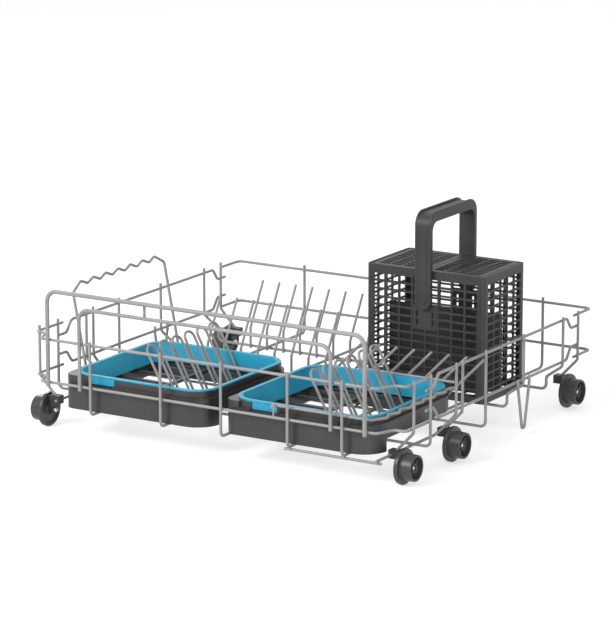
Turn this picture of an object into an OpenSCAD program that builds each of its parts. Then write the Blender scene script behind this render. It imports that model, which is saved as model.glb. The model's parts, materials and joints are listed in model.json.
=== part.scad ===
// Lower rack of a household dishwasher: a welded wire basket that rolls on six wheels. It carries two
// glass holders, two lift-out trays with loose inserts, rows of tines and a cutlery basket.
// Origin: on the floor under the middle of the rack. +X right, +Y to the rear, +Z up. Millimetres.

/* [Frame] */
// Distance between the centre lines of the left and right side rails
rack_w = 520; // [500:2:560]
// Distance between the centre lines of the front and rear rails
rack_l = 486; // [480:2:520]
// Height of the lower rail's centre line above the floor
low_rail_z = 67; // [62:0.5:72]
// Height of the upper rail's centre line above the floor
top_rail_z = 120; // [112:1:132]
// Height of the lowest floor wires' centre lines
floor_z = 31; // [29:0.5:33]
// How far the uprights stand above the upper rail's centre line
upright_rise = 4.5; // [2:0.5:10]
// How far the ends of the side rails are stepped down or up
rail_jog = 14.5; // [10:0.5:18]
// Diameter of the coated wire
wire_d = 3.5; // [3:0.1:3.8]
// Centre-line radius of the wire's bends
bend_r = 7; // [5:0.5:8]
// Depth to which crossing wires are welded into each other
weld = 0.1; // [0.05:0.01:0.15]

/* [Front bows] */
// Diameter of the outer bow's wire
outer_bow_d = 5.2; // [4:0.1:6]
// Distance between the outer bow's legs
outer_bow_w = 444; // [430:2:456]
// Height of the outer bow's centre line
outer_bow_z = 181.5; // [175:0.5:200]
// Diameter of the inner bow's wire
inner_bow_d = 4.5; // [3.5:0.1:5]
// Distance between the inner bow's legs
inner_bow_w = 352; // [345:1:362]
// Height of the inner bow's centre line
inner_bow_z = 164; // [150:0.5:168]
// Centre-line radius of the bows' upper corners
bow_corner_r = 14; // [8:1:20]

/* [Wheels] */
// Diameter of the wheel's flange
wheel_d = 43; // [38:0.5:46]
// Thickness of the wheel's flange
flange_t = 5.5; // [4.5:0.5:8]
// Diameter of the wheel's hub
hub_d = 32; // [26:0.5:36]
// Distance between the outer faces of the left and right hubs
track_w = 536; // [520:1:560]
// Width of a whole wheel, flange and hub
wheel_w = 20; // [18:0.5:24]
// Diameter of the axle
axle_d = 6; // [5:0.5:8]
// Radial running clearance of a wheel on its axle
wheel_gap = 0.06; // [0.03:0.01:0.1]

/* [Glass holders] */
// Height of the left holder's pivot above the floor
left_pivot_z = 41; // [40:0.5:44]
// How far the left holder's pivot lies inside the side rail
left_pivot_inset = 35; // [33:0.5:38]
// Length of the left holder's arms up to its first corner
left_arm_l = 119; // [100:1:125]
// Angle at which the left holder leans outwards
left_lean = 11; // [5:0.5:13]
// Distance between the left holder's arms
left_holder_w = 202; // [196:1:204]
// Height of the right holder's pivot above the floor
right_pivot_z = 81; // [80:0.5:84]
// Length of the right holder's arms up to its first corner
right_arm_l = 129; // [128:1:132]
// Height of the waves along a holder's edge
wave_h = 5.5; // [3:0.5:7]
// Number of waves along a holder's edge
waves = 7; // [5:1:8]
// Radial clearance of the holders' pins
pin_gap = 0.06; // [0.03:0.01:0.1]

/* [Tines] */
// Diameter of the tines' wire
tine_d = 3.2; // [2.8:0.1:3.5]
// Height of the straight tines' tips above the floor
tine_z = 112; // [100:1:118]
// Number of straight tines in each rear row
rear_tines = 8; // [4:1:8]
// Distance between neighbouring tines of a rear row
rear_pitch = 25; // [24.5:0.1:25.5]
// How far the rear tines lean backwards
rear_lean = 31; // [20:1:36]
// Number of slanted tines beside the right tray
slanted_tines = 8; // [4:1:8]
// Distance between neighbouring slanted tines
slanted_pitch = 24; // [23.7:0.1:24.3]
// Height of the hairpin tines above the floor
loop_z = 118; // [105:1:119]
// Number of hairpin tines in each tray
loop_count = 6; // [3:1:6]
// Distance between neighbouring hairpin tines
loop_pitch = 27.4; // [25:0.1:27.6]
// Width of a hairpin tine between its legs' centre lines
loop_w = 19.5; // [16:0.5:20]
// How far a hairpin tine leans sideways
loop_lean = 43; // [35:1:45]

/* [Trays] */
// Width of a tray
tray_w = 204; // [200:1:206]
// Depth of a tray from front to rear
tray_l = 197.6; // [196:0.2:198]
// Height of a tray
tray_h = 42; // [38:0.5:44]
// Height of the shoulder along the front and right of a tray
shoulder_h = 34.5; // [28:0.5:36]
// Depth of that shoulder
shoulder_t = 4; // [2:0.5:5]
// Height of the right wall's lower edge and of the floor above a tray's lower edge
side_rise = 15.5; // [13.5:0.5:16.5]
// Wall thickness of a tray
tray_wall = 2.4; // [1.6:0.1:3]
// Corner radius on the left of a tray
left_r = 12; // [8:1:14]
// Corner radius on the right of a tray
right_r = 30; // [26:1:36]
// Width of the bars in a tray's floor
bar_w = 6; // [4:0.5:8]
// Width of an insert over its rim
insert_w = 196; // [190:1:196]
// Depth of an insert over its rim
insert_l = 193; // [190:0.5:193.4]
// Height of an insert
insert_h = 23; // [18:0.5:24]
// Wall thickness of an insert
insert_wall = 2; // [1.5:0.1:2.5]
// Clearance between a piece and what it sits on or in
seat_gap = 0.3; // [0.2:0.05:0.5]

/* [Cutlery basket] */
// Width of the cutlery basket
basket_w = 164; // [150:1:166]
// Depth of the cutlery basket
basket_l = 103; // [90:1:104]
// Height of the cutlery basket without its lids
basket_h = 158; // [140:1:160]
// Wall thickness of the cutlery basket
basket_wall = 2.5; // [2:0.1:3.5]
// Outer radius of the basket's upright edges
basket_r = 4.5; // [4:0.5:8]
// Number of window columns in a wide face
wide_columns = 8; // [4:1:9]
// Number of window columns in a narrow face
narrow_columns = 5; // [3:1:6]
// Number of window rows in every face
window_rows = 14; // [8:1:15]
// Width of the bars between the windows
rib_w = 2.2; // [1.8:0.1:4]
// Thickness of the divider inside the basket
divider_t = 2; // [1.5:0.1:3]
// Height of the divider above the basket's floor
divider_h = 98; // [60:1:120]
// Width of the handle's arms
handle_w = 22; // [18:0.5:25]
// Thickness of the handle's arms
handle_t = 6; // [5:0.5:7]
// Height of the handle's pivots above the basket's bottom
pivot_h = 121; // [116:1:124]
// Height of the handle's top above its pivots
handle_reach = 110; // [100:1:120]
// Outer radius of the handle's upper corners
handle_r = 17; // [12:1:20]
// Diameter of the handle's pivots
pivot_d = 8; // [6:0.5:9]
// Thickness of the lids
lid_t = 3; // [2.5:0.5:4]

/* [Hidden] */
$fn = 40;
// Places across the rack of the five lengthwise wires
long_x = [-161, -60, 25, 117, 191];
// Lengthwise wires that the left and right hairpin tines stand on
left_loop_wire = long_x[1];
right_loop_wire = long_x[4];
// Middle of the front and of the rear rails, before they shift to centre the whole rack
rear_end = rack_l / 2;
front_end = -rear_end;
// Places from front to rear of the four cross wires and of the three pairs of wheels
cross_y = [front_end + 77, front_end + 210, front_end + 305, rear_end - 79];
wheel_y = [front_end + 38, front_end + 153, rear_end - 39];

// Bends are this much thicker than the wire, and straight stretches reach this far into them
bend_swell = 0.05;
bend_lap = 0.3;

cross_step = wire_d - weld;
rail_x = rack_w / 2;
side_x = rail_x + cross_step;
front_y = front_end + (outer_bow_d - wire_d) / 2;
rear_y = rear_end + (outer_bow_d - wire_d) / 2;
upright_z = top_rail_z + upright_rise;
long_z = floor_z + cross_step;
high_cross_z = long_z + cross_step;
end_cross_y = [cross_y[2], cross_y[3]];

// Plan of the rails' front corners
corner_in = 15;
corner_run = 10;
corner_y = front_end + 26;
stub_l = 5;
rail_end_run = 11;
rail_tail = 18;
rear_tail = 45;

// The stepped floor wires' outer knees
knee_x = rail_x - 19;
knee_z = 47;
slant_z = low_rail_z - 4;
middle_pair = 15;
run_end = 1;

axle_z = wheel_d / 2;
hub_face = track_w / 2;
wheel_face = hub_face - wheel_w;
clip_reach = 12;
carrier_x = wheel_face - clip_reach;
clip_in = 3.4;
clip_drop = 4.4;
clip_arm_t = 5;
clip_l = 11;
clip_top = long_z + 6;
bulb_d = axle_d + 1.2;
bulb_l = 3;
bulb_at = 11;
axle_tail = 2;
axle_tip = 1;
dish_depth = 6;
dish_rim = 2.8;
hub_boss_d = 11;
hub_boss_h = 3;
end_gap = 0.5;

// V-shaped feet
foot_y = 62.5;
foot_w = 29;
foot_z = 8;
foot_drop = 8;
foot_tip = 3;
foot_bend_r = 3;

// Link between the bows, and the short wire across the front of the floor
link_x = -84;
link_lap = 1;
end_wire_in = 3;
end_wire_left = 7;
end_wire_right = 4;

left_pivot_x = left_pivot_inset - rail_x;
left_arm_in = 11;
left_front_arm = cross_y[0] + left_arm_in;
left_rear_arm = left_front_arm + left_holder_w;
holder_clip_w = 10;
clip_gap = 3;
clip_cover = 4;
pin_l = 8.5;
right_arm_gap = 0.5;
right_arm_in = 2.7;
right_front_arm = front_y + cross_step + right_arm_gap;
right_rear_arm = cross_y[1] - right_arm_in;
pin_bend_r = 2.2;
wave_bend_r = 6;
wave_margin = 6;
right_pin_l = 5.6;
eye_d = 6.6;
eye_l = 2.6;
stalk_d = 2.2;
plate_t = 2.2;
plate_l = slanted_pitch * sin(45) + 5;

// Feet of the rear rows, of the slanted row and of the hairpins
tine_tail = 2;
loop_tail = 3;
loop_bend_r = 9;
rear_first_x = -190;
rear_knee_z = 56;
slanted_first_x = rail_x - 250;
// The right holder turns midway between the second and the third slanted tine
right_pivot_x = slanted_first_x + 1.5 * slanted_pitch + right_pivot_z - floor_z;
loop_first_y = front_end + 46;
left_loop_run = 4;
right_loop_run = 25;
left_loop_x = left_loop_wire - loop_lean - left_loop_run;
right_loop_x = right_loop_wire - loop_lean - right_loop_run;
loop_foot_z = long_z + (wire_d + tine_d) / 2 - weld;

tray_z = long_z + wire_d / 2 + seat_gap;
tray_y = front_end + 7.2;
left_tray_x = 54 - rail_x;
right_tray_x = 24;
ledge_z = tray_z + tray_h;
notch_w = wire_d + 2;
bar_z = side_rise;
bar_t = 3.4;
bar_pitch = 34;
window_x = [88, 176];
corner_block = 20;
floor_edge = 7;
insert_x = 4;
insert_y = 3.6;
rim_w = 5;
rim_t = 2.2;
insert_slope_x = 7;
insert_slope_y = 3;
insert_top = 3.6;
insert_edge_h = 1;
insert_left_r = right_r;
insert_right_r = right_r;
tab_w = 34;
tab_x = 32;
tab_y = 0.9;
tab_t = 2.2;
tab_h = 9;
tab_gap = 0.6;

basket_x = rail_x - 202.5;
basket_y = front_end + 280;
basket_z = long_z + wire_d / 2 + seat_gap;
basket_mid = basket_x + basket_w / 2;
frame_w = 10;
side_frame = frame_w - basket_r;
band_h = 11;
base_h = 8;
floor_t = 2.5;
floor_rise = 0.5;
floor_lap = 0.5;
pivot_z = basket_z + pivot_h;
arm_gap = 0.6;
plate_w = 33;
plate_h = 31;
plate_drop = 6.5;
slot_w = 3.5;
slot_h = 20;
slot_x = 11;
boss_l = handle_t - 2.2;
pad_w = 14;
grip_t = 13;
groove_x = 6;
groove_w = 3;
groove_t = 1;
channel_rim = 3;
channel_t = 2.4;
channel_foot = 1;
lid_gap = 0.4;
lid_pin_d = 3;
lid_pin_in = basket_wall + lid_t + end_gap;
lid_pin_x = [lid_pin_in, basket_w - lid_pin_in];
lid_axis_h = basket_h - lid_t;
lid_bore_l = 10;
lid_pin_l = basket_wall + lid_gap + 8;
lid_edge = 6;
lid_end = basket_r - basket_wall;
lid_pitch = 8.4;
lid_columns = 4;

coat = "#a8a8a8";
dark = "#504d4f";
black = "#3e3e40";
blue = "#2f9bc0";
steel = "#c4c6c8";

function unit(v) = v / norm(v);
function bend_angle(u, v) = acos(max(-1, min(1, u * v)));
// Bend radius at point i: the same everywhere, or one value for each point
function radius(r, i) = is_list(r) ? r[i] : r;
// Length that a bend at point i takes from the straight stretches on both sides of it
function bend_take(p, i, r) =
    i <= 0 || i >= len(p) - 1 ? 0
        : radius(r, i) * tan(bend_angle(unit(p[i] - p[i - 1]), unit(p[i + 1] - p[i])) / 2);

// Straight rod from a to b
module rod(a, b, d) {
    v = b - a;
    translate(a)
        rotate([0, acos(v.z / norm(v)), atan2(v.y, v.x)])
            cylinder(h = norm(v), d = d);
}

// Part of a ring that starts at the origin along +Z and bends towards +X
module elbow(turn, d, r) {
    translate([r, 0, 0])
        rotate([90, 0, 180])
            rotate_extrude(angle = turn)
                translate([r, 0])
                    circle(d = d + 2 * bend_swell);
}

// Rest of a wire from the straight stretch after point i. x, y and z are the directions of the
// current axes, and z runs along the wire. Straight stretches reach a little way into the bends.
module bent(p, i, x, y, z, d, r) {
    last = i == len(p) - 2;
    run = norm(p[i + 1] - p[i]) - bend_take(p, i, r) - bend_take(p, i + 1, r);
    translate([0, 0, i > 0 ? -bend_lap : 0])
        cylinder(h = run + (i > 0 ? bend_lap : 0) + (last ? 0 : bend_lap), d = d);
    if (!last) {
        next = unit(p[i + 2] - p[i + 1]);
        bend = radius(r, i + 1);
        turn = bend_angle(z, next);
        side = atan2(next * y, next * x);
        across = x * cos(side) + y * sin(side);
        translate([0, 0, run])
            rotate([0, 0, side]) {
                elbow(turn, d, bend);
                translate([bend * (1 - cos(turn)), 0, bend * sin(turn)])
                    rotate([0, turn, 0])
                        bent(p, i + 1, across * cos(turn) - z * sin(turn), y * cos(side) - x * sin(side),
                            next, d, r);
            }
    }
}

// Bent wire through the points p, rounded to radius r at each inner point
module wire(p, d = wire_d, r = bend_r) {
    u = unit(p[1] - p[0]);
    tilt = acos(u.z);
    heading = atan2(u.y, u.x);
    translate(p[0])
        rotate([0, tilt, heading])
            bent(p, 0,
                [cos(tilt) * cos(heading), cos(tilt) * sin(heading), -sin(tilt)],
                [-sin(heading), cos(heading), 0], u, d, r);
}

module both_sides() {
    children();
    mirror([1, 0, 0]) children();
}

// ---- Rails and bows ----

module front_rails() {
    color(coat)
        for (z = [low_rail_z, top_rail_z])
            wire([
                [-rail_x, cross_y[0] + stub_l, z], [-rail_x, corner_y, z],
                [-rail_x + corner_in, corner_y, z], [-rail_x + corner_in + corner_run, front_y, z],
                [rail_x - corner_in - corner_run, front_y, z], [rail_x - corner_in, corner_y, z],
                [rail_x, corner_y, z], [rail_x, cross_y[0] + stub_l, z],
            ]);
}

module rear_rails() {
    color(coat)
        for (z = [low_rail_z, top_rail_z])
            wire([
                [-rail_x, rear_y - rear_tail, z], [-rail_x, rear_y, z],
                [rail_x, rear_y, z], [rail_x, rear_y - rear_tail, z],
            ]);
}

// A side rail steps by 'step' at both ends, so that its ends pass the ends of the front and rear rails
module side_rail(z, step) {
    front = cross_y[0] - stub_l;
    rear = wheel_y[2] + stub_l;
    wire([
        [rail_x, front, z + step], [rail_x, front + rail_tail, z + step],
        [rail_x, front + rail_tail + rail_end_run, z], [rail_x, rear - rail_tail - rail_end_run, z],
        [rail_x, rear - rail_tail, z + step], [rail_x, rear, z + step],
    ]);
}

module right_side_rails() {
    color(coat) {
        side_rail(top_rail_z, -rail_jog);
        side_rail(low_rail_z, rail_jog);
    }
}

module left_side_rails() {
    mirror([1, 0, 0]) right_side_rails();
}

module bow(w, z, d) {
    y = front_y - (wire_d + d) / 2 + weld;
    foot = low_rail_z - wire_d;
    wire([[-w / 2, y, foot], [-w / 2, y, z], [w / 2, y, z], [w / 2, y, foot]], d, bow_corner_r);
}

module outer_bow() {
    color("#c8c8c8") bow(outer_bow_w, outer_bow_z, outer_bow_d);
}

module inner_bow() {
    color("#c0c0c0") bow(inner_bow_w, inner_bow_z, inner_bow_d);
}

module bow_link() {
    color(coat)
        rod([link_x, front_y, inner_bow_z - link_lap], [link_x, front_y, outer_bow_z + link_lap], wire_d);
}

// ---- Floor of the wire basket ----

module lengthwise_wires() {
    front = front_y - cross_step;
    rear = rear_y + cross_step;
    color(coat)
        for (x = long_x)
            wire([[x, front, upright_z], [x, front, long_z], [x, rear, long_z], [x, rear, upright_z]]);
}

module straight_cross_wires() {
    heights = [high_cross_z, floor_z];
    color(coat)
        for (i = [0, 1])
            wire([
                [-side_x, cross_y[i], upright_z], [-side_x, cross_y[i], heights[i]],
                [side_x, cross_y[i], heights[i]], [side_x, cross_y[i], upright_z],
            ]);
}

module stepped_cross_wires() {
    color(coat)
        for (y = end_cross_y)
            wire([
                [-side_x, y, upright_z], [-side_x, y, slant_z], [-knee_x, y, knee_z],
                [-knee_x, y, floor_z], [knee_x, y, floor_z], [knee_x, y, knee_z],
                [side_x, y, slant_z], [side_x, y, upright_z],
            ]);
}

// Upright that slants in to the clip above a wheel and ends on the wire or clip there
module carrier(y) {
    top = [side_x, y, slant_z];
    clip = [carrier_x, y, long_z];
    wire([[side_x, y, upright_z], top, clip + unit(top - clip) * (wire_d - weld / 2) / 2]);
}

module front_carriers() {
    color(coat) both_sides() carrier(wheel_y[0]);
}

module middle_carriers() {
    color(coat) both_sides() carrier(wheel_y[1]);
}

module rear_carriers() {
    color(coat) both_sides() carrier(wheel_y[2]);
}

// Upright beside the middle wheel that turns forwards and runs through the front clip
module long_carriers() {
    y = wheel_y[1] - middle_pair;
    ends = [front_y - run_end, wheel_y[0] - clip_l / 2 - run_end];
    color(coat)
        for (side = [0, 1])
            mirror([side, 0, 0])
                wire([
                    [side_x, y, upright_z], [side_x, y, slant_z],
                    [carrier_x, y, long_z], [carrier_x, ends[side], long_z],
                ]);
}

module front_floor_wire() {
    y = front_y + end_wire_in;
    color(coat)
        rod([long_x[3] - end_wire_left, y, floor_z], [carrier_x + end_wire_right, y, floor_z], wire_d);
}

// V-shaped feet under the lower side rails
module rail_feet() {
    top = low_rail_z + wire_d;
    color(coat)
        both_sides()
            wire([
                [side_x, foot_y - foot_w / 2, top], [side_x, foot_y - foot_w / 2, top - foot_drop],
                [side_x, foot_y - foot_tip, foot_z], [side_x, foot_y + foot_tip, foot_z],
                [side_x, foot_y + foot_w / 2, top - foot_drop], [side_x, foot_y + foot_w / 2, top],
            ], wire_d, foot_bend_r);
}

// ---- Tines ----

// Row of tines that stand in front of a cross wire and lean to the rear
module rear_row(cross) {
    y = cross - (wire_d + tine_d) / 2 + weld;
    color(coat)
        for (i = [0:rear_tines - 1]) {
            x = rear_first_x + i * rear_pitch;
            wire([[x, y, floor_z - tine_tail], [x, y, rear_knee_z], [x, y + rear_lean, tine_z]], tine_d);
        }
}

module front_tine_row() {
    rear_row(cross_y[2]);
}

module back_tine_row() {
    rear_row(cross_y[3]);
}

module slanted_tine_row() {
    y = cross_y[1] + (wire_d + tine_d) / 2 - weld;
    rise = tine_z - floor_z;
    color(coat)
        for (i = [0:slanted_tines - 1]) {
            x = slanted_first_x + i * slanted_pitch;
            rod([x - tine_tail, y, floor_z - tine_tail], [x + rise, y, tine_z], tine_d);
        }
}

// Row of hairpin tines with their tops at x, which slant down and end on the lengthwise wire
module loop_row(x, foot_x) {
    color(coat)
        for (i = [0:loop_count - 1]) {
            y = loop_first_y + i * loop_pitch;
            a = y - loop_w / 2;
            b = y + loop_w / 2;
            wire([
                [foot_x + loop_tail, a, loop_foot_z], [x + loop_lean, a, loop_foot_z], [x, a, loop_z],
                [x, b, loop_z], [x + loop_lean, b, loop_foot_z], [foot_x + loop_tail, b, loop_foot_z],
            ], tine_d, loop_bend_r);
        }
}

module left_loop_tines() {
    loop_row(left_loop_x, left_loop_wire);
}

module right_loop_tines() {
    loop_row(right_loop_x, right_loop_wire);
}

// ---- Wheels ----

// Clip that hangs an axle below the wire: the wires and the axle pass through it
module wheel_clip(y) {
    r = clip_l / 2;
    clip_end = wheel_face - seat_gap;
    difference() {
        union() {
            // block round the wires
            translate([carrier_x - clip_in, y - r, long_z - clip_drop])
                cube([clip_end - carrier_x + clip_in, clip_l, clip_top - long_z + clip_drop]);
            // arm beside the wheel, down to its axle
            translate([clip_end - clip_arm_t, y - r, axle_z])
                cube([clip_arm_t, clip_l, long_z - axle_z]);
            translate([clip_end - clip_arm_t, y, axle_z])
                rotate([0, 90, 0]) cylinder(h = clip_arm_t, d = clip_l);
        }
        translate([carrier_x, y, axle_z])
            rotate([0, 90, 0]) cylinder(h = hub_face, d = axle_d);
        carrier(y);
        if (y == wheel_y[0])
            rod([carrier_x, y - clip_l, long_z], [carrier_x, y + clip_l, long_z], wire_d);
    }
}

module wheel_clips() {
    color(black)
        both_sides()
            for (y = wheel_y) wheel_clip(y);
}

// Steel axles with a swollen end that snaps into the hub
module wheel_axles() {
    start = wheel_face - seat_gap - clip_arm_t - axle_tail;
    bulb = wheel_face + bulb_at;
    color(steel)
        both_sides()
            for (y = wheel_y) {
                translate([start, y, axle_z])
                    rotate([0, 90, 0]) cylinder(h = bulb + bulb_l + axle_tip - start, d = axle_d);
                translate([bulb, y, axle_z])
                    rotate([0, 90, 0]) cylinder(h = bulb_l, d = bulb_d);
            }
}

// A wheel on the right: a wide flange inside and a hub outside with a dished face
module wheel(y) {
    color(black)
        translate([wheel_face, y, axle_z])
            rotate([90, 0, 90])
                difference() {
                    union() {
                        cylinder(h = flange_t, d = wheel_d);
                        cylinder(h = wheel_w, d = hub_d);
                    }
                    // open end round a boss
                    translate([0, 0, wheel_w - dish_depth])
                        difference() {
                            cylinder(h = dish_depth + 1, d = hub_d - 2 * dish_rim);
                            translate([0, 0, -1]) cylinder(h = hub_boss_h + 1, d = hub_boss_d);
                        }
                    translate([0, 0, -1])
                        cylinder(h = wheel_w + 2, d = axle_d + 2 * wheel_gap);
                    translate([0, 0, bulb_at - end_gap])
                        cylinder(h = bulb_l + 2 * end_gap, d = bulb_d + 2 * seat_gap);
                }
}

module front_right_wheel() { wheel(wheel_y[0]); }
module middle_right_wheel() { wheel(wheel_y[1]); }
module rear_right_wheel() { wheel(wheel_y[2]); }
module front_left_wheel() { mirror([1, 0, 0]) wheel(wheel_y[0]); }
module middle_left_wheel() { mirror([1, 0, 0]) wheel(wheel_y[1]); }
module rear_left_wheel() { mirror([1, 0, 0]) wheel(wheel_y[2]); }

// ---- Glass holders ----

// Wavy edge of a holder between its arms, as distances along the edge and out from the pivot
function wave_points(w, arm) =
    let (pitch = (w - 2 * wave_margin) / waves)
    [for (i = [0:2 * waves - 2])
        [wave_margin + pitch * (i + 1) / 2, arm + (i % 2 == 0 ? 2 : 1) * wave_h]];

// A holder is one bent wire: a pin, an arm, the wavy edge, the other arm and its pin
module glass_holder(pivot, w, arm, pin, lean) {
    out = [-sin(lean), 0, cos(lean)];
    edge = concat([[-pin, 0], [0, 0], [0, arm]], wave_points(w, arm), [[w, arm], [w, 0], [w + pin, 0]]);
    last = len(edge) - 1;
    color(coat)
        wire([for (q = edge) pivot + [0, q[0], 0] + out * q[1]], wire_d,
            [for (i = [0:last]) i == 1 || i == last - 1 ? pin_bend_r : wave_bend_r]);
}

module left_glass_holder() {
    glass_holder([left_pivot_x, left_front_arm, left_pivot_z], left_holder_w, left_arm_l, pin_l, left_lean);
}

module right_glass_holder() {
    glass_holder([right_pivot_x, right_front_arm, right_pivot_z], right_rear_arm - right_front_arm,
        right_arm_l, right_pin_l, -90);
}

// Clip on a cross wire with the bore for a holder's pin. The pin enters from the side of 'arm_y'.
module holder_clip(wire_y, wire_z, arm_y) {
    toward = sign(arm_y - wire_y);
    near = arm_y - toward * clip_gap;
    far = wire_y - toward * clip_cover;
    bottom = wire_z - clip_cover;
    difference() {
        translate([left_pivot_x - holder_clip_w / 2, min(near, far), bottom])
            cube([holder_clip_w, abs(near - far), left_pivot_z + holder_clip_w / 2 - bottom]);
        rod([left_pivot_x - holder_clip_w, wire_y, wire_z],
            [left_pivot_x + holder_clip_w, wire_y, wire_z], wire_d);
        rod([left_pivot_x, arm_y, left_pivot_z],
            [left_pivot_x, arm_y - toward * (pin_l + end_gap), left_pivot_z], wire_d + 2 * pin_gap);
    }
}

module left_holder_clips() {
    color(black) {
        holder_clip(cross_y[0], high_cross_z, left_front_arm);
        holder_clip(cross_y[2], floor_z, left_rear_arm);
    }
}

// Eye on a short stalk on the lower front rail, and a pierced plate across two slanted tines
module right_holder_eyes() {
    bore = wire_d + 2 * pin_gap;
    stalk_z = low_rail_z + (wire_d - weld) / 2;
    plate_front = cross_y[1] + wire_d / 2 - weld / 2 - plate_t;
    color(coat) {
        difference() {
            union() {
                translate([right_pivot_x, front_y + eye_l / 2, right_pivot_z])
                    rotate([90, 0, 0]) cylinder(h = eye_l, d = eye_d);
                translate([right_pivot_x, front_y, stalk_z])
                    cylinder(h = right_pivot_z - stalk_z, d = stalk_d);
            }
            translate([right_pivot_x, front_y + eye_l, right_pivot_z])
                rotate([90, 0, 0]) cylinder(h = 2 * eye_l, d = bore);
        }
        translate([right_pivot_x, plate_front, right_pivot_z])
            rotate([0, 45, 0])
                difference() {
                    translate([-plate_l / 2, 0, -eye_d / 2]) cube([plate_l, plate_t, eye_d]);
                    translate([0, plate_t + 1, 0]) rotate([90, 0, 0]) cylinder(h = plate_t + 2, d = bore);
                }
    }
}

// ---- Trays and inserts ----

// Outline with the radius rl at its left corners and rr at its right corners, from its front left corner
module outline(w, l, rl, rr) {
    translate([rl, 0]) square([w - rl - rr, l]);
    translate([0, rl]) square([rl, l - 2 * rl]);
    translate([w - rr, rr]) square([rr, l - 2 * rr]);
    for (y = [rl, l - rl]) translate([rl, y]) circle(r = rl);
    for (y = [rr, l - rr]) translate([w - rr, y]) circle(r = rr);
}

// The same outline drawn in by t on every side
module inner_outline(w, l, rl, rr, t) {
    translate([t, t]) outline(w - 2 * t, l - 2 * t, rl - t, rr - t);
}

// Upper part of the tray: drawn in by the shoulder along the front and the right
module upper_outline(t) {
    translate([t, t + shoulder_t])
        outline(tray_w - shoulder_t - 2 * t, tray_l - shoulder_t - 2 * t, left_r - t, right_r - t);
    if (t == 0)
        intersection() {
            outline(tray_w, tray_l, left_r, right_r);
            square([corner_block, 2 * corner_block]);
        }
}

module tray(x) {
    color(dark)
        translate([x, tray_y, tray_z])
            difference() {
                union() {
                    // lower wall, open below
                    linear_extrude(shoulder_h)
                        difference() {
                            outline(tray_w, tray_l, left_r, right_r);
                            inner_outline(tray_w, tray_l, left_r, right_r, tray_wall);
                        }
                    // shoulder and upper wall
                    translate([0, 0, shoulder_h - tray_wall])
                        linear_extrude(tray_wall)
                            difference() {
                                outline(tray_w, tray_l, left_r, right_r);
                                upper_outline(tray_wall);
                            }
                    translate([0, 0, shoulder_h])
                        linear_extrude(tray_h - shoulder_h)
                            difference() {
                                upper_outline(0);
                                upper_outline(tray_wall);
                            }
                    // ledge that the insert's rim lies on
                    translate([0, 0, tray_h - tray_wall])
                        linear_extrude(tray_wall)
                            difference() {
                                upper_outline(0);
                                translate([insert_x, insert_y])
                                    inner_outline(insert_w, insert_l, insert_left_r, insert_right_r,
                                        insert_top - seat_gap);
                            }
                    tray_floor();
                }
                // the right wall and the rear right corner stop short of the floor wires
                translate([tray_w - right_r, right_r, -1])
                    cube([right_r + 1, tray_l - right_r + 1, side_rise + 1]);
                // recess in the front edge for the insert's tab
                translate([
                    insert_x + tab_x - tab_gap, -1,
                    tray_h - tab_h - tab_gap
                ])
                    cube([tab_w + 2 * tab_gap, insert_y + insert_top + 2, tab_h + tab_gap + 1]);
                // notches that straddle the high cross wire
                translate([-1, cross_y[0] - tray_y - notch_w / 2, -1])
                    cube([tray_w + 2, notch_w, high_cross_z + wire_d / 2 + seat_gap - tray_z + 1]);
            }
}

// Floor of a tray: an edge strip, bars across both sides and an open window for the hairpin tines
module tray_floor() {
    translate([0, 0, bar_z])
        linear_extrude(bar_t)
            intersection() {
                outline(tray_w, tray_l, left_r, right_r);
                union() {
                    difference() {
                        square([tray_w, tray_l]);
                        inner_outline(tray_w, tray_l, left_r, right_r, floor_edge);
                    }
                    for (side = [0, 1]) {
                        translate([window_x[side] - (1 - side) * bar_w, 0]) square([bar_w, tray_l]);
                        translate([side * window_x[1], 0])
                            for (y = [bar_pitch:bar_pitch:tray_l - bar_w])
                                translate([0, y - bar_w / 2])
                                    square([side == 0 ? window_x[0] : tray_w - window_x[1], bar_w]);
                    }
                }
            }
}

module left_tray() { tray(left_tray_x); }
module right_tray() { tray(right_tray_x); }

// Insert: a rim that lies on the tray, walls that taper down inside it and a tab in front
module insert(x) {
    color(blue)
        translate([x + insert_x, tray_y + insert_y, ledge_z + seat_gap]) {
            linear_extrude(rim_t)
                difference() {
                    outline(insert_w, insert_l, insert_left_r, insert_right_r);
                    inner_outline(insert_w, insert_l, insert_left_r, insert_right_r, rim_w);
                }
            difference() {
                insert_core(insert_top, 0);
                insert_core(insert_top + insert_wall, 1);
            }
            translate([tab_x, tab_y, -tab_h]) cube([tab_w, tab_t, tab_h + rim_t]);
        }
}

module left_insert() { insert(left_tray_x); }
module right_insert() { insert(right_tray_x); }

// Solid of an insert's walls, drawn in by 'inset' and made 'extra' longer at both ends
module insert_core(inset, extra) {
    hull() {
        linear_extrude(insert_edge_h + extra)
            inner_outline(insert_w, insert_l, insert_left_r, insert_right_r, inset);
        translate([insert_slope_x, insert_slope_y, rim_t - insert_h - extra])
            linear_extrude(1)
                inner_outline(insert_w - 2 * insert_slope_x, insert_l - 2 * insert_slope_y,
                    insert_left_r, insert_right_r, inset);
    }
}

// ---- Cutlery basket ----

// Corners of a w by h rectangle at (x, y)
function corners(x, y, w, h) = [[x, y], [x + w, y], [x + w, y + h], [x, y + h]];

// Plate w by h with a grid of windows between margins at its left, bottom, right and top
module grille(w, h, columns, rows, rib, left, bottom, right, top) {
    pitch_x = (w - left - right + rib) / columns;
    pitch_y = (h - bottom - top + rib) / rows;
    windows = [
        for (i = [0:columns - 1]) for (j = [0:rows - 1])
            corners(left + i * pitch_x, bottom + j * pitch_y, pitch_x - rib, pitch_y - rib)
    ];
    loops = concat([corners(0, 0, w, h)], windows);
    polygon([for (loop = loops) each loop], [for (k = [0:len(loops) - 1]) [for (c = [0:3]) 4 * k + c]]);
}

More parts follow.
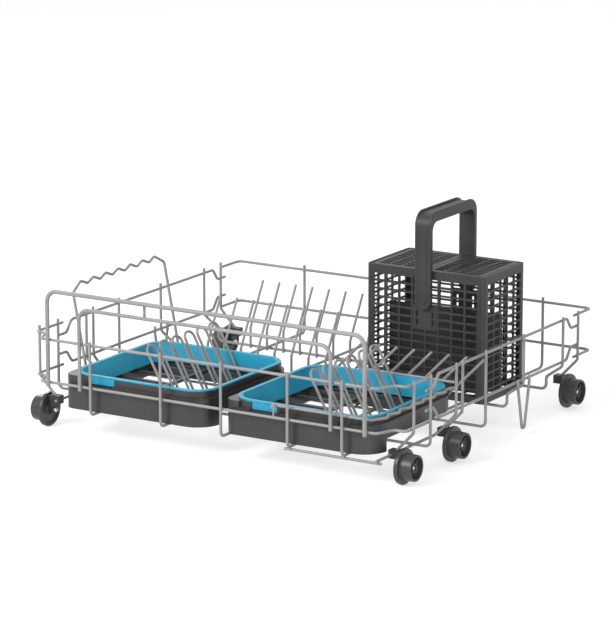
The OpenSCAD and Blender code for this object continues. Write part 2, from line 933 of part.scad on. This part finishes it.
// Face of the basket with its windows
module window_face(w, columns) {
    grille(w, basket_h, columns, window_rows, rib_w, side_frame, base_h, side_frame, band_h);
}

// Floor grille that reaches a little way into the walls
module basket_floor() {
    inset = basket_wall - floor_lap;
    margin = frame_w - inset;
    translate([inset, inset, floor_rise])
        linear_extrude(floor_t)
            grille(basket_w - 2 * inset, basket_l - 2 * inset, wide_columns, narrow_columns, rib_w,
                margin, margin, margin, margin);
}

// A wide face with the boss that a handle arm turns on, seen from outside
module wide_wall() {
    rotate([90, 0, 0]) translate([0, 0, -basket_wall]) {
        translate([basket_r, 0, 0])
            linear_extrude(basket_wall)
                difference() {
                    window_face(basket_w - 2 * basket_r, wide_columns);
                    for (x = lid_pin_x)
                        translate([x - basket_r, lid_axis_h]) circle(d = lid_pin_d);
                }
        translate([basket_w / 2 - pad_w / 2, pivot_h - pad_w / 2, 0])
            cube([pad_w, pad_w, basket_wall]);
        // slotted plate below the arm's end
        translate([basket_w / 2 - plate_w / 2, pivot_h - plate_drop - plate_h, 0])
            linear_extrude(basket_wall)
                difference() {
                    square([plate_w, plate_h]);
                    for (x = [-slot_x, slot_x])
                        translate([plate_w / 2 + x - slot_w / 2, (plate_h - slot_h) / 2])
                            square([slot_w, slot_h]);
                }
        translate([basket_w / 2, pivot_h, 0])
            cylinder(h = basket_wall + arm_gap + boss_l, d = pivot_d);
    }
}

module cutlery_basket() {
    color(black)
        translate([basket_x, basket_y, basket_z]) {
            basket_floor();
            wide_wall();
            translate([basket_w, basket_l, 0]) rotate([0, 0, 180]) wide_wall();
            for (x = [0, basket_w - basket_wall])
                translate([x + basket_wall, basket_r, 0])
                    rotate([90, 0, -90]) mirror([1, 0, 0])
                        linear_extrude(basket_wall) window_face(basket_l - 2 * basket_r, narrow_columns);
            for (corner = [[0, 0, 180], [1, 0, 270], [1, 1, 0], [0, 1, 90]])
                translate([
                    basket_r + corner[0] * (basket_w - 2 * basket_r),
                    basket_r + corner[1] * (basket_l - 2 * basket_r), 0,
                ])
                    rotate([0, 0, corner[2]])
                        rotate_extrude(angle = 90)
                            translate([basket_r - basket_wall, 0]) square([basket_wall, basket_h]);
        }
}

// Plate along the middle of the basket that stands on its floor
module basket_divider() {
    inset = basket_wall + seat_gap;
    color(black)
        translate([basket_x + inset, basket_y + (basket_l - divider_t) / 2, basket_z + floor_rise + floor_t])
            cube([basket_w - 2 * inset, divider_t, divider_h]);
}

// The left lid: a slotted flap with a round edge that turns on two pins
module lid() {
    w = basket_w / 2 - lid_pin_in - lid_gap;
    l = basket_l - 2 * basket_wall - 2 * lid_gap;
    slots = floor((l - 2 * lid_edge) / lid_pitch);
    color(black)
        translate([basket_x + lid_pin_in, basket_y + basket_wall + lid_gap, basket_z + lid_axis_h])
            difference() {
                union() {
                    linear_extrude(lid_t)
                        grille(w, l, lid_columns, slots, rib_w, lid_edge, lid_edge, lid_edge, lid_edge);
                    rotate([-90, 0, 0]) cylinder(h = l, r = lid_t);
                }
                // the hinge's ends stay clear of the basket's round corners
                for (y = [-1, l - lid_end])
                    translate([-lid_t - 1, y, -lid_t - 1]) cube([2 * lid_t + 2, lid_end + 1, 2 * lid_t + 2]);
                for (y = [-1, l + 1 - lid_bore_l])
                    translate([0, y, 0])
                        rotate([-90, 0, 0]) cylinder(h = lid_bore_l, d = lid_pin_d + 2 * pin_gap);
            }
}

module left_lid() { lid(); }
module right_lid() { translate([2 * basket_mid, 0, 0]) mirror([1, 0, 0]) lid(); }

// Pins that are pressed through the wide faces into the lids' round edges
module lid_pins() {
    color(black)
        for (x = lid_pin_x)
            for (y = [0, basket_l - lid_pin_l])
                translate([basket_x + x, basket_y + y, basket_z + lid_axis_h])
                    rotate([-90, 0, 0]) cylinder(h = lid_pin_l, d = lid_pin_d);
}

// Rectangle from -w/2 to w/2 and up to h, with rounded upper corners
module arch(w, bottom, h, r) {
    translate([-w / 2, bottom]) square([w, h - r - bottom]);
    translate([r - w / 2, h - r]) square([w - 2 * r, r]);
    for (x = [r - w / 2, w / 2 - r]) translate([x, h - r]) circle(r = r);
}

// Outline of a long U: two strips side by side that join in a half ring at the bottom
module groove_loop(top) {
    outer = groove_x + groove_w / 2;
    inner = groove_x - groove_w / 2;
    for (x = [-groove_x, groove_x]) translate([x - groove_w / 2, 0]) square([groove_w, top]);
    difference() {
        circle(r = outer);
        circle(r = inner);
        translate([-outer - 1, 0]) square([2 * outer + 2, outer + 1]);
    }
}

// Handle: two arms with round ends and a grip in one piece, with a long loop of a groove on each arm
module basket_handle() {
    inner_w = basket_l + 2 * arm_gap;
    outer_w = inner_w + 2 * handle_t;
    bore_l = boss_l + end_gap;
    groove_top = handle_reach - handle_r;
    color(black)
        translate([basket_mid, basket_y + basket_l / 2, pivot_z])
            difference() {
                union() {
                    rotate([90, 0, 90])
                        translate([0, 0, -handle_w / 2])
                            linear_extrude(handle_w)
                                difference() {
                                    arch(outer_w, 0, handle_reach, handle_r);
                                    arch(inner_w, -1, handle_reach - grip_t, handle_r - handle_t);
                                }
                    for (y = [inner_w / 2, -outer_w / 2])
                        translate([0, y, 0])
                            rotate([-90, 0, 0]) cylinder(h = handle_t, d = handle_w);
                }
                // shallow channel along the top of the grip
                translate([0, 0, groove_top])
                    rotate([90, 0, 90])
                        translate([0, 0, channel_rim - handle_w / 2])
                            linear_extrude(handle_w - 2 * channel_rim)
                                difference() {
                                    arch(outer_w + 2, -1, handle_r + 1, handle_r + 1);
                                    arch(outer_w - 2 * channel_t, -2, handle_r - channel_t,
                                        handle_r - channel_t);
                                    // it ends above the arms
                                    translate([-outer_w, channel_foot - 2 * outer_w])
                                        square(2 * outer_w);
                                }
                for (side = [0, 180])
                    rotate([0, 0, side]) {
                        translate([0, -inner_w / 2 - bore_l, 0])
                            rotate([-90, 0, 0]) cylinder(h = bore_l + 1, d = pivot_d + 2 * pin_gap);
                        translate([0, groove_t - outer_w / 2, 0])
                            rotate([90, 0, 0])
                                linear_extrude(groove_t + 1) groove_loop(groove_top);
                    }
            }
}

front_rails();
rear_rails();
left_side_rails();
right_side_rails();
outer_bow();
inner_bow();
bow_link();
lengthwise_wires();
straight_cross_wires();
stepped_cross_wires();
front_carriers();
middle_carriers();
long_carriers();
rear_carriers();
front_floor_wire();
rail_feet();
front_tine_row();
back_tine_row();
slanted_tine_row();
left_loop_tines();
right_loop_tines();
wheel_clips();
wheel_axles();
left_holder_clips();
right_holder_eyes();
front_left_wheel();
front_right_wheel();
middle_left_wheel();
middle_right_wheel();
rear_left_wheel();
rear_right_wheel();
left_glass_holder();
right_glass_holder();
left_tray();
right_tray();
left_insert();
right_insert();
cutlery_basket();
basket_divider();
left_lid();
right_lid();
lid_pins();
basket_handle();
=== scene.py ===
import json
import math
import bmesh
import bpy
from mathutils import Matrix, Vector


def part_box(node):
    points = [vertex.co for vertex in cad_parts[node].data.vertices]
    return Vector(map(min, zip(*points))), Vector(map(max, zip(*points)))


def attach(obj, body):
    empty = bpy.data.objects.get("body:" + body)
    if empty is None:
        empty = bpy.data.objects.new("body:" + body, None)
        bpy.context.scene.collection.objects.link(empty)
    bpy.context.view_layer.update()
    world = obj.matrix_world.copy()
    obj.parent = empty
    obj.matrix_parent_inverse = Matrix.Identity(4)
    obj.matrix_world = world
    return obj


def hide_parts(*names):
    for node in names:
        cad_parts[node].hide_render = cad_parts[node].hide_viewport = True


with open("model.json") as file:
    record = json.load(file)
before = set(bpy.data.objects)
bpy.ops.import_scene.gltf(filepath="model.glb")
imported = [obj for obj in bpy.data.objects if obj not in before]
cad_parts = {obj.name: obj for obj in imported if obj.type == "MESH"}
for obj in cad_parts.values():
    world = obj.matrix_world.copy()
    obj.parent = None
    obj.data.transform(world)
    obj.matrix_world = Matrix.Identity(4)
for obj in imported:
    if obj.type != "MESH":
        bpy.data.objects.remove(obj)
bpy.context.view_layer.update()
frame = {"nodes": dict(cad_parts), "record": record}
NODES = frame["nodes"]

MM = 0.001

# Camera: place in metres, angles in degrees, lens and sensor in millimetres
CAMERA_PLACE = (2.34139, -3.84123, 1.20346)
CAMERA_TILT = 76.60
CAMERA_TURN = 31.41
CAMERA_LENS = 212.93
CAMERA_SENSOR = 36
CAMERA_SHIFT = (-0.00042, -0.00846)
CAMERA_REACH = 50

# Light: a bright studio round a pale floor, and three round lamps
WHITE = (1, 1, 1, 1)
WORLD_FILL = 0.55
FLOOR_SIZE = 12
FLOOR_COLOUR = (0.6, 0.6, 0.6, 1)
FLOOR_GLOW = 0.62
LAMPS = (
    # name, place, point it is turned to, width, power
    ("key", (-0.9, -2.3, 1.9), (0, -0.1, 0.08), 1.4, 62),
    ("fill", (2.1, -2.0, 0.5), (0.1, -0.1, 0.08), 0.5, 24),
    ("rim", (-2.0, 1.7, 1.3), (0, 0, 0.08), 0.8, 16),
)

# Finishes: share of gloss, where the tones and the roughness change on the blotches, and relief
GLOSS = 0.4
TONE_SPAN = (0.32, 0.68)
ROUGHNESS_SPAN = (0.3, 0.7)
BLOTCH_DETAIL = 4
RELIEF_DETAIL = 2
RELIEF_STRENGTH = 0.5

# Moulded pieces and the width of the rounding on their edges, in millimetres
MOULDINGS = (
    ("left_tray", 0.8),
    ("right_tray", 0.8),
    ("left_insert", 0.5),
    ("right_insert", 0.5),
    ("cutlery_basket", 0.3),
    ("left_lid", 0.3),
    ("right_lid", 0.3),
    ("basket_handle", 0.9),
    ("basket_divider", 0.4),
    ("wheel_clips", 0.6),
    ("left_holder_clips", 0.6),
)
# Their meshes: the gap that is closed, in millimetres, and the angles in degrees under which
# faces are one face and over which an edge is rounded or shaded as sharp
MERGE_GAP = 0.005
FLAT_ANGLE = 0.5
EDGE_ANGLE = 32
SHARP_ANGLE = 40
EDGE_STEPS = 2
ROUND_PROFILE = 0.5


def set_view():
    bpy.context.scene.view_settings.view_transform = "Standard"


def add_camera():
    camera = bpy.data.cameras.new("camera")
    camera.lens = CAMERA_LENS
    camera.sensor_width = CAMERA_SENSOR
    camera.shift_x, camera.shift_y = CAMERA_SHIFT
    camera.clip_end = CAMERA_REACH
    holder = bpy.data.objects.new("camera", camera)
    holder.location = CAMERA_PLACE
    holder.rotation_euler = (math.radians(CAMERA_TILT), 0, math.radians(CAMERA_TURN))
    bpy.context.scene.collection.objects.link(holder)
    bpy.context.scene.camera = holder


def aim(holder, target):
    look = Vector(target) - holder.location
    holder.rotation_euler = look.to_track_quat("-Z", "Y").to_euler()


def add_lamp(name, place, target, size, power):
    lamp = bpy.data.lights.new(name, "AREA")
    lamp.shape = "DISK"
    lamp.size = size
    lamp.energy = power
    holder = bpy.data.objects.new(name, lamp)
    holder.location = place
    bpy.context.scene.collection.objects.link(holder)
    aim(holder, target)


def light_paths(tree, *kinds):
    """One value that is 1 for these kinds of ray."""
    path = tree.nodes.new("ShaderNodeLightPath")
    value = path.outputs[kinds[0]]
    for kind in kinds[1:]:
        either = tree.nodes.new("ShaderNodeMath")
        either.operation = "MAXIMUM"
        tree.links.new(value, either.inputs[0])
        tree.links.new(path.outputs[kind], either.inputs[1])
        value = either.outputs[0]
    return value


def set_world():
    world = bpy.data.worlds.new("studio")
    bpy.context.scene.world = world
    world.use_nodes = True
    tree = world.node_tree
    tree.nodes.clear()
    seen = tree.nodes.new("ShaderNodeBackground")
    seen.inputs["Color"].default_value = WHITE
    fill = tree.nodes.new("ShaderNodeBackground")
    fill.inputs["Color"].default_value = WHITE
    fill.inputs["Strength"].default_value = WORLD_FILL
    mix = tree.nodes.new("ShaderNodeMixShader")
    out = tree.nodes.new("ShaderNodeOutputWorld")
    rays = light_paths(tree, "Is Camera Ray", "Is Glossy Ray", "Is Transmission Ray")
    tree.links.new(rays, mix.inputs[0])
    tree.links.new(fill.outputs[0], mix.inputs[1])
    tree.links.new(seen.outputs[0], mix.inputs[2])
    tree.links.new(mix.outputs[0], out.inputs["Surface"])


def add_floor():
    mesh = bmesh.new()
    bmesh.ops.create_grid(mesh, x_segments=1, y_segments=1, size=FLOOR_SIZE)
    floor = finish_piece("floor", mesh, floor_material())


def floor_material():
    material = bpy.data.materials.new("pale_floor")
    material.use_nodes = True
    tree = material.node_tree
    tree.nodes.clear()
    matt = tree.nodes.new("ShaderNodeBsdfDiffuse")
    matt.inputs["Color"].default_value = FLOOR_COLOUR
    glow = tree.nodes.new("ShaderNodeEmission")
    glow.inputs["Strength"].default_value = FLOOR_GLOW
    none = tree.nodes.new("ShaderNodeEmission")
    none.inputs["Strength"].default_value = 0
    pick = tree.nodes.new("ShaderNodeMixShader")
    both = tree.nodes.new("ShaderNodeAddShader")
    out = tree.nodes.new("ShaderNodeOutputMaterial")
    rays = light_paths(tree, "Is Camera Ray", "Is Glossy Ray", "Is Transmission Ray")
    tree.links.new(rays, pick.inputs[0])
    tree.links.new(none.outputs[0], pick.inputs[1])
    tree.links.new(glow.outputs[0], pick.inputs[2])
    tree.links.new(matt.outputs[0], both.inputs[0])
    tree.links.new(pick.outputs[0], both.inputs[1])
    tree.links.new(both.outputs[0], out.inputs["Surface"])
    return material


def noise(tree, coordinates, scale, detail):
    texture = tree.nodes.new("ShaderNodeTexNoise")
    texture.inputs["Scale"].default_value = scale
    texture.inputs["Detail"].default_value = detail
    tree.links.new(coordinates, texture.inputs["Vector"])
    return texture.outputs["Fac"]


def between(tree, value, low, high):
    span = tree.nodes.new("ShaderNodeMapRange")
    span.inputs["From Min"].default_value = ROUGHNESS_SPAN[0]
    span.inputs["From Max"].default_value = ROUGHNESS_SPAN[1]
    span.inputs["To Min"].default_value = low
    span.inputs["To Max"].default_value = high
    tree.links.new(value, span.inputs["Value"])
    return span.outputs["Result"]


def two_tone(tree, value, dark, light):
    ramp = tree.nodes.new("ShaderNodeValToRGB")
    ramp.color_ramp.elements[0].position = TONE_SPAN[0]
    ramp.color_ramp.elements[0].color = (*dark, 1)
    ramp.color_ramp.elements[1].position = TONE_SPAN[1]
    ramp.color_ramp.elements[1].color = (*light, 1)
    tree.links.new(value, ramp.inputs["Fac"])
    return ramp.outputs["Color"]


def relief(tree, coordinates, scale, depth, under=None):
    bump = tree.nodes.new("ShaderNodeBump")
    bump.inputs["Distance"].default_value = depth
    bump.inputs["Strength"].default_value = RELIEF_STRENGTH
    tree.links.new(noise(tree, coordinates, scale, RELIEF_DETAIL), bump.inputs["Height"])
    if under:
        tree.links.new(under, bump.inputs["Normal"])
    return bump.outputs["Normal"]


def surface(name, dark, light, blotch, rough, coarse, fine, metal=0.0):
    """A finish whose tone and roughness vary over blotches, with a coarse and a fine relief.

    blotch is the scale of the blotches. coarse and fine give the scale and depth of each relief.
    """
    material = bpy.data.materials.new(name)
    material.use_nodes = True
    tree = material.node_tree
    shader = tree.nodes["Principled BSDF"]
    shader.inputs["Metallic"].default_value = metal
    shader.inputs["Specular IOR Level"].default_value = GLOSS
    place = tree.nodes.new("ShaderNodeTexCoord").outputs["Object"]
    patches = noise(tree, place, blotch, BLOTCH_DETAIL)
    tree.links.new(two_tone(tree, patches, dark, light), shader.inputs["Base Color"])
    tree.links.new(between(tree, patches, *rough), shader.inputs["Roughness"])
    waves = relief(tree, place, *coarse)
    specks = relief(tree, place, *fine, under=waves)
    tree.links.new(specks, shader.inputs["Normal"])
    return material


FINISHES = {
    "wire_coat": surface(
        "grey_nylon_coat",
        dark=(0.265, 0.263, 0.260),
        light=(0.312, 0.309, 0.305),
        blotch=30,
        rough=(0.30, 0.42),
        coarse=(260, 0.0003),
        fine=(1800, 0.00004),
    ),
    "steel": surface(
        "drawn_steel",
        dark=(0.55, 0.55, 0.56),
        light=(0.66, 0.66, 0.66),
        blotch=60,
        rough=(0.28, 0.4),
        coarse=(900, 0.0001),
        fine=(3000, 0.00003),
        metal=1.0,
    ),
    "black_plastic": surface(
        "charcoal_moulding",
        dark=(0.029, 0.029, 0.030),
        light=(0.040, 0.039, 0.041),
        blotch=25,
        rough=(0.42, 0.55),
        coarse=(400, 0.0001),
        fine=(2600, 0.00008),
    ),
    # Wheels: the same black plastic with a lighter tone, which is painted light standing in for
    # the light and highlight their hubs catch, and a lower roughness
    "wheel_plastic_painted_light": surface(
        "wheel_moulding_painted_light",
        dark=(0.042, 0.042, 0.043),
        light=(0.054, 0.053, 0.055),
        blotch=40,
        rough=(0.30, 0.40),
        coarse=(500, 0.0001),
        fine=(2600, 0.00006),
    ),
    "tray_plastic": surface(
        "dark_tray_moulding",
        dark=(0.037, 0.034, 0.036),
        light=(0.049, 0.045, 0.047),
        blotch=20,
        rough=(0.28, 0.38),
        coarse=(300, 0.0001),
        fine=(2600, 0.00006),
    ),
    "blue_plastic": surface(
        "blue_insert_moulding",
        dark=(0.020, 0.30, 0.47),
        light=(0.030, 0.36, 0.54),
        blotch=18,
        rough=(0.30, 0.42),
        coarse=(300, 0.0001),
        fine=(2400, 0.00004),
    ),
}


def finish_piece(name, mesh, material):
    data = bpy.data.meshes.new(name)
    mesh.to_mesh(data)
    mesh.free()
    data.materials.append(material)
    piece = bpy.data.objects.new(name, data)
    bpy.context.scene.collection.objects.link(piece)
    return piece


def slot_of(node):
    for part in frame["record"]["subparts"]:
        if part["node"] == node:
            return part["material_slot"]
    return None


def body_of(node):
    for body, members in frame["record"]["behaviour"]["bodies"].items():
        if node in members:
            return body
    return None


def merged(node):
    """A copy of the node's mesh with its doubles merged and its flat faces whole."""
    mesh = bmesh.new()
    mesh.from_mesh(NODES[node].data)
    bmesh.ops.remove_doubles(mesh, verts=mesh.verts, dist=MERGE_GAP * MM)
    bmesh.ops.dissolve_limit(
        mesh,
        angle_limit=math.radians(FLAT_ANGLE),
        verts=mesh.verts,
        edges=mesh.edges,
        delimit={"NORMAL"},
    )
    return mesh


def shade(piece, angle):
    for face in piece.data.polygons:
        face.use_smooth = True
    piece.data.set_sharp_from_angle(angle=math.radians(angle))
    weighted = piece.modifiers.new("even_faces", "WEIGHTED_NORMAL")
    weighted.keep_sharp = True


# Handle, in millimetres: radius of its bends, and half width and depth that hold the channel
# with its rounded edges. The channel starts to rise RUN_OUT_ANGLE degrees up each bend, reaches
# the surface at the bend's foot and stays there for RUN_OUT_FOOT, to just above a cut.
HANDLE_BEND = 17
CHANNEL_REACH = 9
CHANNEL_DEPTH = 2.8
RUN_OUT_ANGLE = 75
RUN_OUT_FOOT = 3.6
RUN_OUT_CUT = 4


def run_out_channel(mesh, node):
    """Lets the grip's channel rise to the surface over each bend, where the arms begin."""
    low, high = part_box(node)
    middle = (low + high) / 2
    bend_z = high.z - HANDLE_BEND * MM
    bend_y = high.y - middle.y - HANDLE_BEND * MM
    bmesh.ops.bisect_plane(
        mesh,
        geom=mesh.verts[:] + mesh.edges[:] + mesh.faces[:],
        plane_co=(0, 0, bend_z - RUN_OUT_CUT * MM),
        plane_no=(0, 0, 1),
    )
    for vert in mesh.verts:
        across, along, height = vert.co - Vector((middle.x, middle.y, bend_z))
        side = math.copysign(1, along)
        out = Vector((0, along - side * bend_y, max(0, height)))
        depth = HANDLE_BEND * MM - out.length
        in_bend = height >= -RUN_OUT_FOOT * MM and out.y * side >= 0
        in_channel = abs(across) <= CHANNEL_REACH * MM and 0 < depth < CHANNEL_DEPTH * MM
        share = math.degrees(math.atan2(out.z, abs(out.y))) / RUN_OUT_ANGLE
        if in_bend and in_channel and share < 1:
            vert.co += out.normalized() * depth * (1 - share * share * (3 - 2 * share))
    bmesh.ops.remove_doubles(mesh, verts=mesh.verts, dist=MERGE_GAP * MM)
    bmesh.ops.dissolve_degenerate(mesh, edges=mesh.edges, dist=MERGE_GAP * MM)


def soften(node, width):
    """Replaces the node with its own shape, its edges rounded."""
    mesh = merged(node)
    edges = [
        edge
        for edge in mesh.edges
        if len(edge.link_faces) == 2 and edge.calc_face_angle() > math.radians(EDGE_ANGLE)
    ]
    bmesh.ops.bevel(
        mesh,
        geom=edges,
        offset=width,
        offset_type="OFFSET",
        affect="EDGES",
        segments=EDGE_STEPS,
        profile=ROUND_PROFILE,
        material=-1,
        clamp_overlap=True,
    )
    if node == "basket_handle":
        run_out_channel(mesh, node)
    piece = finish_piece(node + "_moulding", mesh, FINISHES[slot_of(node)])
    shade(piece, SHARP_ANGLE)
    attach(piece, body_of(node))
    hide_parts(node)


def coat_nodes():
    for name, node in NODES.items():
        finish = FINISHES[slot_of(name)]
        for place in node.material_slots:
            place.material = finish


# Wire ends: height and width of the domes, as shares of the wire's radius
TIP_HEIGHT = 0.55
TIP_WIDTH = 0.99
TIP_SEGMENTS = 12
# How far from round an end may be, and the radii that a wire has, in millimetres
TIP_ROUNDNESS = 0.08
TIP_RADII = (1.0, 3.2)
TIP_CORNERS = 8


def wire_ends(mesh):
    """Middle, direction and radius of each flat round end of a wire."""
    for face in mesh.faces:
        if len(face.verts) < TIP_CORNERS:
            continue
        middle = face.calc_center_median()
        reach = [(vert.co - middle).length for vert in face.verts]
        radius = sum(reach) / len(reach)
        is_round = max(reach) - min(reach) < TIP_ROUNDNESS * MM
        if is_round and TIP_RADII[0] * MM < radius < TIP_RADII[1] * MM:
            yield middle, face.normal.copy(), radius


def round_ends(node):
    """Sets low domes on the flat ends of the node's wires."""
    source = merged(node)
    ends = list(wire_ends(source))
    source.free()
    if not ends:
        return
    mesh = bmesh.new()
    for middle, direction, radius in ends:
        turn = direction.to_track_quat("Z", "Y").to_matrix().to_4x4()
        width = radius * TIP_WIDTH
        size = Matrix.Diagonal((width, width, radius * TIP_HEIGHT, 1))
        bmesh.ops.create_uvsphere(
            mesh,
            u_segments=TIP_SEGMENTS,
            v_segments=TIP_SEGMENTS // 2,
            radius=1,
            matrix=Matrix.Translation(middle) @ turn @ size,
        )
    for face in mesh.faces:
        face.smooth = True
    tips = finish_piece(node + "_tips", mesh, FINISHES[slot_of(node)])
    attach(tips, body_of(node))


# Wheels: distance from the inner face and radius, in millimetres, round the section
WHEEL_SECTION = (
    (0.2, 3.4),
    (0.0, 3.8),
    (0.0, 6.6),
    (0.5, 7.1),
    (2.0, 7.6),
    (2.3, 8.2),
    (2.3, 16.4),
    (2.0, 17.0),
    (0.5, 17.8),
    (0.0, 18.4),
    (0.0, 20.3),
    (0.35, 21.1),
    (1.2, 21.5),
    (4.3, 21.5),
    (5.15, 21.1),
    (5.5, 20.3),
    (5.5, 17.7),
    (5.8, 16.7),
    (6.8, 16.2),
    (18.9, 15.9),
    (19.7, 15.6),
    (20.0, 14.9),
    (20.0, 13.7),
    (19.6, 13.2),
    (14.8, 12.7),
    (14.1, 12.0),
    (14.1, 6.2),
    (14.6, 5.5),
    (16.7, 5.3),
    (17.0, 5.0),
    (17.0, 3.8),
    (16.6, 3.4),
)
WHEEL_STEPS = 72
WHEEL_MERGE_GAP = 0.001
# Distance of the wheels' inner faces from the rack's middle
WHEEL_FACE = 248
WHEEL_RIBS = 6
WHEEL_SHARP_ANGLE = 38
# Ribs: turn of the first, place along the axle and from it, length, width and height, and edges
RIB_TURN = 20
RIB_PLACE = (15.0, 9.0)
RIB_SIZE = (3.0, 1.3, 8.0)
RIB_EDGE = 0.25


def wheel_ribs(mesh):
    """Thin ribs from the boss to the hub's wall, inside its open end."""
    for step in range(WHEEL_RIBS):
        turn = Matrix.Rotation(math.radians(360 / WHEEL_RIBS * step + RIB_TURN), 4, "X")
        place = Matrix.Translation((RIB_PLACE[0] * MM, 0, RIB_PLACE[1] * MM))
        size = Matrix.Diagonal([side * MM for side in RIB_SIZE] + [1])
        rib = bmesh.ops.create_cube(mesh, size=1, matrix=turn @ place @ size)
        edges = dict.fromkeys(edge for vert in rib["verts"] for edge in vert.link_edges)
        bmesh.ops.bevel(
            mesh,
            geom=list(edges),
            offset=RIB_EDGE * MM,
            affect="EDGES",
            segments=1,
            profile=ROUND_PROFILE,
            material=-1,
        )


def spin_wheel(node, side):
    """Replaces the node with a wheel spun from its section; side is -1 on the left."""
    mesh = bmesh.new()
    verts = [mesh.verts.new((along * MM, 0, radius * MM)) for along, radius in WHEEL_SECTION]
    edges = [mesh.edges.new((verts[i - 1], verts[i])) for i in range(len(verts))]
    bmesh.ops.spin(
        mesh,
        geom=verts + edges,
        cent=(0, 0, 0),
        axis=(1, 0, 0),
        angle=math.radians(360),
        steps=WHEEL_STEPS,
        use_merge=True,
    )
    wheel_ribs(mesh)
    low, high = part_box(node)
    middle = (low + high) / 2
    bmesh.ops.scale(mesh, vec=(side, 1, 1), verts=mesh.verts)
    bmesh.ops.translate(mesh, vec=(side * WHEEL_FACE * MM, middle.y, middle.z), verts=mesh.verts)
    bmesh.ops.remove_doubles(mesh, verts=mesh.verts, dist=WHEEL_MERGE_GAP * MM)
    bmesh.ops.recalc_face_normals(mesh, faces=mesh.faces)
    wheel = finish_piece(node + "_roller", mesh, FINISHES["wheel_plastic_painted_light"])
    shade(wheel, WHEEL_SHARP_ANGLE)
    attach(wheel, node)
    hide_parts(node)


def add_wheels():
    for place in ("front", "middle", "rear"):
        spin_wheel(place + "_left_wheel", -1)
        spin_wheel(place + "_right_wheel", 1)


set_view()
add_camera()
set_world()
add_floor()
for lamp in LAMPS:
    add_lamp(*lamp)
coat_nodes()
for name, width in MOULDINGS:
    soften(name, width * MM)
add_wheels()
for name in NODES:
    if slot_of(name) in ("wire_coat", "steel"):
        round_ends(name)
